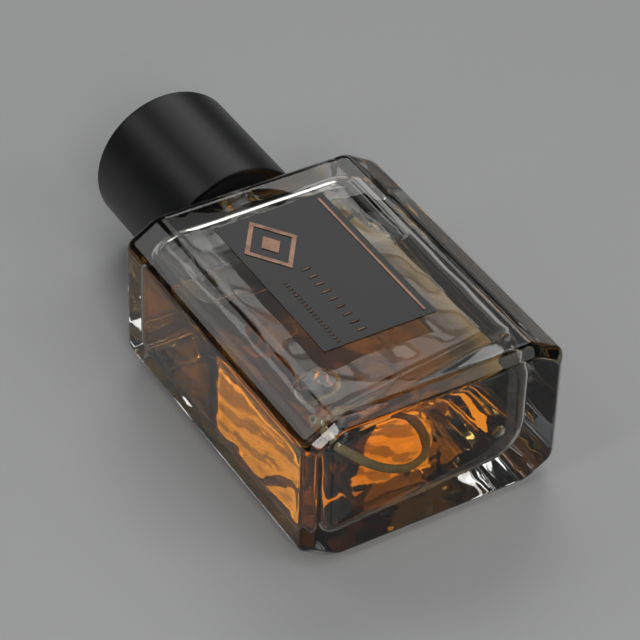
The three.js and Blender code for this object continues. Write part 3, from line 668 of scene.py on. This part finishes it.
wet = hollow_wall(OVERLAP)
wet_floor = floor_rings(wet[0], [0.02, 0.35, 0.7])
ceiling = wet[-1][0, 1]
well_radius, well_foot = BARREL_RADIUS - OVERLAP, TAIL_FOOT + OVERLAP
tail_well_radius = TAIL_RADIUS - OVERLAP
well_corners = [
    [6.2, ceiling], [well_radius, ceiling], [well_radius, BARREL_FOOT + 0.8],
    [TAIL_RADIUS + 1.5, BARREL_FOOT], [tail_well_radius, BARREL_FOOT - BARREL_CONE],
    [tail_well_radius, well_foot], [0.3, well_foot],
]
well_profile = softened(well_corners, [0, 0.4, 0.3, 0.3, 0.3, 0.2, 0], steps=4, hold=0.15, closed=False)
well = np.stack([
    well_profile[:, :1] * np.cos(inside_angles),
    np.broadcast_to(well_profile[:, 1:], (len(well_profile), AROUND)),
    well_profile[:, :1] * np.sin(inside_angles),
], -1)
wet_ceiling = (wet[-1] + well[0]) / 2
fill_shell = shell_of(np.concatenate([wet_floor, wet, wet_ceiling[None], well]))
fill_shells = [
    fill_shell,
    air_pocket(),
    bubble(BUBBLE_MIDDLE, BUBBLE_RADII),
    bubble(SMALL_BUBBLE_MIDDLE, SMALL_BUBBLE_RADII, rows=20, around=36),
]
make_piece("aftershave_fill", fill_shells, aftershave, "bottle", ["aftershave_liquid"])

# %% [markdown]
# ## The dip tube
#
# A dip tube is a length of milky polypropylene pipe. It leaves the pump straight, and being longer than
# the flask it has to bow, so it sweeps round in the fill to the foot's corner. Wetted inside and out
# it hardly bends light at all; what shows is the polymer's milkiness, which scatters most of the light
# and passes little. Its path is a smooth curve through a few points, and the pipe is a circle carried
# along it.

# %% A smooth curve through points
def smooth_path(knots, per_span=14):
    """A centripetal Catmull-Rom curve: each span blends the straight lines through its four nearest
    knots, and the parameter grows with the square root of the distance, so the curve never loops or
    overshoots."""
    knots = np.concatenate([2 * knots[:1] - knots[1:2], knots, 2 * knots[-1:] - knots[-2:-1]])
    reached = np.concatenate([[0], np.cumsum(np.linalg.norm(np.diff(knots, axis=0), axis=1) ** 0.5)])
    span = []
    for k in range(1, len(knots) - 2):
        t0, t1, t2, t3 = reached[k - 1:k + 3]
        p0, p1, p2, p3 = knots[k - 1:k + 3]
        t = np.linspace(t1, t2, per_span, endpoint=k == len(knots) - 3)[:, None]
        a1 = (p0 * (t1 - t) + p1 * (t - t0)) / (t1 - t0)
        a2 = (p1 * (t2 - t) + p2 * (t - t1)) / (t2 - t1)
        a3 = (p2 * (t3 - t) + p3 * (t - t2)) / (t3 - t2)
        b1 = (a1 * (t2 - t) + a2 * (t - t0)) / (t2 - t0)
        b2 = (a2 * (t3 - t) + a3 * (t - t1)) / (t3 - t1)
        span.append((b1 * (t2 - t) + b2 * (t - t1)) / (t2 - t1))
    return np.concatenate(span)


def pipe_along(path, outer_radius, bore_radius, around=28):
    """A pipe: at each station of the path two directions square to it, u and v, carry the circle cos u +
    sin v.

    u starts at any square direction and at each next station loses only what lies along the path, so it
    never twists. The wall's outside runs to the end, folds over the rim and comes back as the bore.
    """
    forward = np.gradient(path, axis=0)
    forward /= np.linalg.norm(forward, axis=1, keepdims=True)
    u = np.zeros_like(path)
    carried = np.array([1.0, 0.0, 0.0])
    for k, ahead in enumerate(forward):
        carried = carried - ahead * (carried @ ahead)
        carried /= np.linalg.norm(carried)
        u[k] = carried
    v = np.cross(forward, u)
    angle = np.linspace(0, 2 * np.pi, around, endpoint=False)
    circle = u[:, None] * np.cos(angle)[:, None] + v[:, None] * np.sin(angle)[:, None]
    rim = (outer_radius + bore_radius) / 2
    outside = path[:, None] + circle * outer_radius
    bore = path[::-1, None] + circle[::-1] * bore_radius
    last_rim = path[-1:, None] + circle[-1:] * rim
    first_rim = path[:1, None] + circle[:1] * rim
    return shell_of(np.concatenate([outside, last_rim, bore, first_rim]), loop=True)


# %% Clear polymer and the tube itself
clear_polymer = finish_of(
    "clear_polymer", surface_grain,
    {"Grain per metre": 1500, "Patches per metre": 150, "Roughness": 0.28, "Spread": 0.2, "Depth": 0.15},
    (0.90, 0.90, 0.88), (0.96, 0.96, 0.95), Transmission_Weight=0.12, IOR=1.45,
)
TUBE_OUTER, TUBE_BORE = 1.1, 0.65
TUBE_KNOTS = np.array([
    [0.0, 68.7, 0.0],
    [0.0, 60.15, 0.0],
    [0.0, 51.9, 0.0],
    [3.86, 43.1, -4.19],
    [8.22, 34.85, -9.43],
    [7.2, 26.875, -12.84],
    [-0.26, 19.615, -11.27],
    [-11.05, 13.675, -3.54],
    [-22.1, 11.75, 7.86],
])
tube_end = TUBE_KNOTS[-1] - TUBE_KNOTS[-2]
TUBE_KNOTS = np.concatenate([TUBE_KNOTS, [TUBE_KNOTS[-1] + 0.4 * tube_end / np.linalg.norm(tube_end)]])
tube_shell = pipe_along(smooth_path(TUBE_KNOTS), TUBE_OUTER, TUBE_BORE)
make_piece("suction_tube", [tube_shell], clear_polymer, "bottle", ["dip_tube"])

# %% [markdown]
# ## The pump
#
# Most of the pump hides under the cap and collar, but its chamber shows through the glass at the
# shoulder. It is injection-moulded polypropylene, a milky white. The parts inside it keep their packed
# shapes and get their finishes.

# %% Moulded white polymer
pump_polymer = finish_of(
    "pump_polymer", surface_grain,
    {"Grain per metre": 6000, "Patches per metre": 120, "Roughness": 0.42, "Spread": 0.15, "Depth": 0.2},
    (0.70, 0.71, 0.69), (0.82, 0.83, 0.81), Subsurface_Weight=0.12, Subsurface_Scale=0.002,
)

# %% The chamber, with its tail and flange
FLANGE_RADIUS, FLANGE_FOOT, FLANGE_TOP = 7.2, 93.3, 94.5
CHAMBER_BORE, SOCKET_RADIUS = 3.2, 1.15
CHAMBER_FLOOR, SOCKET_TOP = 73.85, 69.0
chamber_corners = [
    [FLANGE_RADIUS, FLANGE_TOP], [CHAMBER_BORE, FLANGE_TOP], [CHAMBER_BORE, CHAMBER_FLOOR],
    [1.0, CHAMBER_FLOOR], [1.0, 73.5], [1.5, 73.15], [1.5, 71.0], [0.7, 70.0],  # down past the ball's seat
    [0.7, SOCKET_TOP], [SOCKET_RADIUS, SOCKET_TOP], [SOCKET_RADIUS, TAIL_FOOT],
    [TAIL_RADIUS, TAIL_FOOT], [TAIL_RADIUS, BARREL_FOOT - BARREL_CONE], [3.5, BARREL_FOOT],
    [BARREL_RADIUS, BARREL_FOOT + 0.8], [BARREL_RADIUS, FLANGE_FOOT], [FLANGE_RADIUS, FLANGE_FOOT],
]
chamber_shell = turned(chamber_corners, 0.12, around=96, steps=3, hold=0.1)
make_piece("pump_chamber", [chamber_shell], pump_polymer, "bottle", ["pump_housing"])

# %% [markdown]
# ## Black metal and the satin cap
#
# The cap is a deep-drawn or moulded shell with a soft satin paint. Its edge is rounded by only half a
# millimetre, so the broad grey highlight down its side ends in a thin bright line. The collar and the
# spray button are anodised aluminium, turned, with fine marks round the axis.

# %% Black finishes
satin_black = finish_of(
    "satin_black", surface_grain,
    {"Grain per metre": 9000, "Patches per metre": 35, "Roughness": 0.36, "Spread": 0.12, "Depth": 0.12},
    (0.006, 0.006, 0.0065), (0.012, 0.012, 0.013), Specular_IOR_Level=0.45,
)
black_aluminium = finish_of(
    "black_aluminium", turning_marks,
    {"Lines per metre": 12000, "Roughness": 0.34, "Spread": 0.2, "Depth": 0.2},
    (0.012, 0.012, 0.013), (0.030, 0.030, 0.031), Metallic=0.35,
)
liner_polymer = finish_of(
    "liner_polymer", surface_grain,
    {"Grain per metre": 5000, "Patches per metre": 90, "Roughness": 0.5, "Spread": 0.15, "Depth": 0.25},
    (0.016, 0.016, 0.017), (0.034, 0.034, 0.035),
)

# %% The cap's shell and the liner that grips the collar
CAP_RADIUS, CAP_RIM, CAP_END, CAP_WALL, CAP_TOP = 18.4, 88.0, 123.5, 1.6, 1.8
cap_inner = CAP_RADIUS - CAP_WALL
cap_ceiling = CAP_END - CAP_TOP
cap_corners = [
    [0.0, cap_ceiling], [0.3, cap_ceiling], [cap_inner, cap_ceiling], [cap_inner, CAP_RIM],
    [CAP_RADIUS, CAP_RIM], [CAP_RADIUS, CAP_END], [0.3, CAP_END], [0.0, CAP_END],
]
cap_soft = [0, 0, 0.6, 0.35, 0.4, 0.75, 0, 0]
cap_shell = turned(cap_corners, cap_soft, around=240, on_axis=True, steps=8, hold=0.35)
make_piece("round_cap", [cap_shell], satin_black, "cap", ["cap_shell"])

LINER_WALL, LINER_OUTER, LINER_GRIP = 1.3, cap_inner - 0.1, 10.15
LINER_FOOT, LINER_CEILING, LINER_SKIRT = CAP_RIM + 2, 116.45, 7.0
skirt_top, skirt_inner = LINER_FOOT + LINER_SKIRT, LINER_OUTER - LINER_WALL
cup_outer, cup_floor, cup_top = LINER_GRIP + LINER_WALL, LINER_FOOT + LINER_WALL, LINER_CEILING + LINER_WALL
liner_corners = [
    [0.0, LINER_CEILING], [0.3, LINER_CEILING], [LINER_GRIP, LINER_CEILING], [LINER_GRIP, LINER_FOOT],
    [LINER_OUTER, LINER_FOOT], [LINER_OUTER, skirt_top], [skirt_inner, skirt_top], [skirt_inner, cup_floor],
    [cup_outer, cup_floor], [cup_outer, cup_top], [0.3, cup_top], [0.0, cup_top],
]
liner_soft = [0, 0, 0.3, 0.4, 0.2, 0.15, 0.15, 0.2, 0.2, 0.4, 0, 0]
liner_shell = turned(liner_corners, liner_soft, around=144, on_axis=True, steps=4, hold=0.15)
make_piece("cap_inner_liner", [liner_shell], liner_polymer, "cap", ["cap_liner"])

# %% The collar round the crimp
COLLAR_INNER, COLLAR_OUTER, COLLAR_STEP_RADIUS = 8.55, 10.05, 13.05
COLLAR_FOOT, COLLAR_STEP_TOP, COLLAR_TOP, COLLAR_LIP = 82.3, 84.6, 98.35, 7.2
collar_corners = [
    [COLLAR_INNER, COLLAR_FOOT], [COLLAR_STEP_RADIUS, COLLAR_FOOT], [COLLAR_STEP_RADIUS, COLLAR_STEP_TOP],
    [COLLAR_OUTER, COLLAR_STEP_TOP], [COLLAR_OUTER, COLLAR_TOP], [COLLAR_LIP, COLLAR_TOP],
    [COLLAR_LIP, COLLAR_TOP - 0.8], [COLLAR_INNER, COLLAR_TOP - 0.8],
]
collar_shell = turned(collar_corners, [0.15, 0.5, 0.5, 0.25, 0.5, 0.2, 0.15, 0.15], around=160, steps=6)
make_piece("neck_collar", [collar_shell], black_aluminium, "collar", ["collar"])

# %% [markdown]
# ## Smoothing what is packed
#
# The spray button has a round window for its nozzle, which a turned profile can't have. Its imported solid
# is the right shape and only its flats show, so a copy of it is welded and shaded smooth, with its real
# edges kept sharp. The nozzle is done the same way.

# %% Welded copies with smooth shading
SHARP_EDGE = math.radians(35)


def smooth_copy(node, name, material, body):
    """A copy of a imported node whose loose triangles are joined, shaded smooth except along real edges."""
    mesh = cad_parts[node].data.copy()
    mesh.name = name
    work = bmesh.new()
    work.from_mesh(mesh)
    bmesh.ops.remove_doubles(work, verts=work.verts, dist=1e-6)
    work.to_mesh(mesh)
    work.free()
    mesh.polygons.foreach_set("use_smooth", np.ones(len(mesh.polygons), bool))
    mesh.set_sharp_from_angle(angle=SHARP_EDGE)
    mesh.materials.clear()
    mesh.materials.append(material)
    piece = bpy.data.objects.new(name, mesh)
    bpy.context.scene.collection.objects.link(piece)
    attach(piece, body)
    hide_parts(node)
    print(f"{name}: {len(mesh.vertices)} welded points, on {body}")


smooth_copy("actuator_shell", "spray_button", black_aluminium, "actuator")
smooth_copy("nozzle_insert", "spray_nozzle", liner_polymer, "actuator")

# %% [markdown]
# ## The label and its copper foil
#
# The label is a thin black film on the front of the glass. Its face is fine-grained, so it takes the
# studio's light as a soft grey sheen. On it a copper foil was stamped: a lozenge, its core, a thin rule,
# and two rows of short ticks, plain ornament with no lettering.

# %% Label and foil finishes
label_film = finish_of(
    "label_film", surface_grain,
    {"Grain per metre": 7000, "Patches per metre": 25, "Roughness": 0.33, "Spread": 0.12, "Depth": 0.15},
    (0.006, 0.006, 0.0065), (0.012, 0.012, 0.0125),
)
copper_foil = finish_of(
    "copper_foil", surface_grain,
    {"Grain per metre": 8000, "Patches per metre": 220, "Roughness": 0.34, "Spread": 0.3, "Depth": 0.35},
    (0.13, 0.075, 0.055), (0.50, 0.30, 0.21), Metallic=1.0,
)

# %% Rows of ticks
FOIL_FOOT = np.array(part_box("foil_core")[0])[2] / MM - FOOT_MIDDLE[2] / MM
FOIL_THICK = 0.12


def tick_row(across, start, end, count, length, width):
    """One shell per tick: a low bar with round ends, length across and width along, in three rings.

    The two lower rings are the full outline and the top one is a little smaller, as a worn edge.
    """
    angle = np.linspace(0, 2 * np.pi, 16, endpoint=False)
    round_end = np.stack([np.cos(angle), np.sin(angle)], -1) * width / 2
    bar = round_end + np.stack([np.sign(np.round(np.cos(angle), 6)), 0 * angle], -1) * (length - width) / 2
    levels = np.array([[1.0, 0.0], [1.0, FOIL_THICK * 0.6], [0.93, FOIL_THICK]])
    shells = []
    for along in np.linspace(start, end, count):
        rings = np.stack([
            across + bar[None, :, 0] * levels[:, :1],
            along + bar[None, :, 1] * levels[:, :1],
            FOIL_FOOT + np.broadcast_to(levels[:, 1:], (3, 16)),
        ], -1)
        shells.append(shell_of(rings))
    return shells


ticks = tick_row(-5.4, 47.5, 24.0, 9, 2.3, 0.5) + tick_row(-11.9, 45.5, 22.9, 19, 1.0, 0.32)
make_piece("foil_ticks", ticks, copper_foil, "bottle")

# %% [markdown]
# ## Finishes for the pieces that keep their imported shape
#
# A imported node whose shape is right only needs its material. The small parts inside the pump are listed
# with the finish each one has on the real thing: drawn aluminium, spring steel, rubber and the pump's own
# polymer.

# %% Metals and rubber
bare_aluminium = finish_of(
    "bare_aluminium", turning_marks,
    {"Lines per metre": 10000, "Roughness": 0.28, "Spread": 0.25, "Depth": 0.25},
    (0.62, 0.63, 0.64), (0.83, 0.84, 0.85), Metallic=1.0,
)
spring_steel = finish_of(
    "spring_steel", surface_grain,
    {"Grain per metre": 12000, "Patches per metre": 500, "Roughness": 0.25, "Spread": 0.2, "Depth": 0.1},
    (0.46, 0.46, 0.47), (0.66, 0.66, 0.67), Metallic=1.0,
)
gasket_rubber = finish_of(
    "gasket_rubber", surface_grain,
    {"Grain per metre": 5000, "Patches per metre": 300, "Roughness": 0.72, "Spread": 0.15, "Depth": 0.4},
    (0.60, 0.58, 0.54), (0.74, 0.72, 0.68),
)

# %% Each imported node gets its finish
NODE_FINISHES = {
    "label_film": label_film,
    "foil_lozenge": copper_foil,
    "foil_core": copper_foil,
    "foil_rule": copper_foil,
    "neck_gasket": gasket_rubber,
    "crimp_ferrule": bare_aluminium,
    "pump_turret": pump_polymer,
    "inlet_ball": spring_steel,
    "return_spring": spring_steel,
    "piston_spring": spring_steel,
    "stem": pump_polymer,
    "piston": pump_polymer,
    "actuator_core": pump_polymer,
}
for node_name, finish in NODE_FINISHES.items():
    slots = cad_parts[node_name].data.materials
    slots.clear()
    slots.append(finish)
print("finishes on", len(NODE_FINISHES), "packed nodes")

# %% [markdown]
# ## The studio
#
# Glass and black paint have hardly any colour of their own: they show the studio. Behind and to the right
# stands a bank of soft boxes at three heights. The high one shines through the fill and makes it glow, the
# middle one is dim so that the front glass stays clear, and the low one is mirrored beside the label. A
# second pair, behind on the left and in front on the right, lights the fill's far ends. The rest edge the
# bevels, the tube and the cap. The floor is plain and pale.

# %% Floor and world
FLOOR_SIZE = 6.0
FLOOR_DROP = 0.0001
floor_mesh = bpy.data.meshes.new("studio_floor")
floor_corner = np.array([[-1, -1], [1, -1], [1, 1], [-1, 1]]) * FLOOR_SIZE / 2
floor_points = np.concatenate([floor_corner, np.full((4, 1), -FLOOR_DROP)], 1)
floor_mesh.from_pydata(floor_points, [], [[0, 1, 2, 3]])
floor = bpy.data.objects.new("studio_floor", floor_mesh)
bpy.context.scene.collection.objects.link(floor)
floor_paint = bpy.data.materials.new("floor_paint")
floor_paint.use_nodes = True
floor_shader = floor_paint.node_tree.nodes["Principled BSDF"]
floor_shader.inputs["Base Color"].default_value = (0.62, 0.62, 0.62, 1)
floor_shader.inputs["Roughness"].default_value = 0.45
floor_mesh.materials.append(floor_paint)

world = bpy.data.worlds.new("studio_world")
world.use_nodes = True
world.node_tree.nodes["Background"].inputs["Color"].default_value = (0.9, 0.95, 1.0, 1)
world.node_tree.nodes["Background"].inputs["Strength"].default_value = 0.06
bpy.context.scene.world = world


# %% Soft boxes
def soft_box(name, azimuth, elevation, distance, width, height, power):
    """An area light that faces the bottle: degrees, metres and watts.

    Azimuth turns from the bottle's right side towards its cap.
    """
    a, e = math.radians(azimuth), math.radians(elevation)
    away = np.array([math.cos(a) * math.cos(e), math.sin(a) * math.cos(e), math.sin(e)])
    side = np.cross([0, 0, 1], away)
    side /= np.linalg.norm(side)
    lamp = bpy.data.objects.new(name, bpy.data.lights.new(name, "AREA"))
    lamp.data.shape = "RECTANGLE"
    lamp.data.size, lamp.data.size_y = width, height
    lamp.data.energy = power
    matrix = np.eye(4)
    matrix[:3, :3] = np.stack([side, np.cross(away, side), away], axis=1)
    matrix[:3, 3] = away * distance + [0, 0, FOOT_MIDDLE[2]]
    lamp.matrix_world = Matrix(matrix.tolist())
    bpy.context.scene.collection.objects.link(lamp)


soft_box("back_high_box", 60, 52, 3.0, 2.0, 1.09, 8.8)
soft_box("back_middle_box", 60, 39.7, 3.0, 1.6, 0.2, 0.5)
soft_box("back_low_box", 54, 32.6, 3.0, 1.4, 0.5, 4.2)
soft_box("front_box", 250, 35, 1.2, 0.3, 0.3, 2.4)
soft_box("front_right_box", 300, 40, 1.5, 0.9, 0.7, 2.4)
soft_box("back_left_box", 122, 42, 1.1, 0.35, 0.4, 0.7)
soft_box("left_strip", 190, 35, 1.1, 0.15, 0.9, 0.9)
soft_box("top_box", 270, 80, 1.3, 0.7, 0.7, 1.6)
bpy.context.scene.view_settings.view_transform = "Standard"
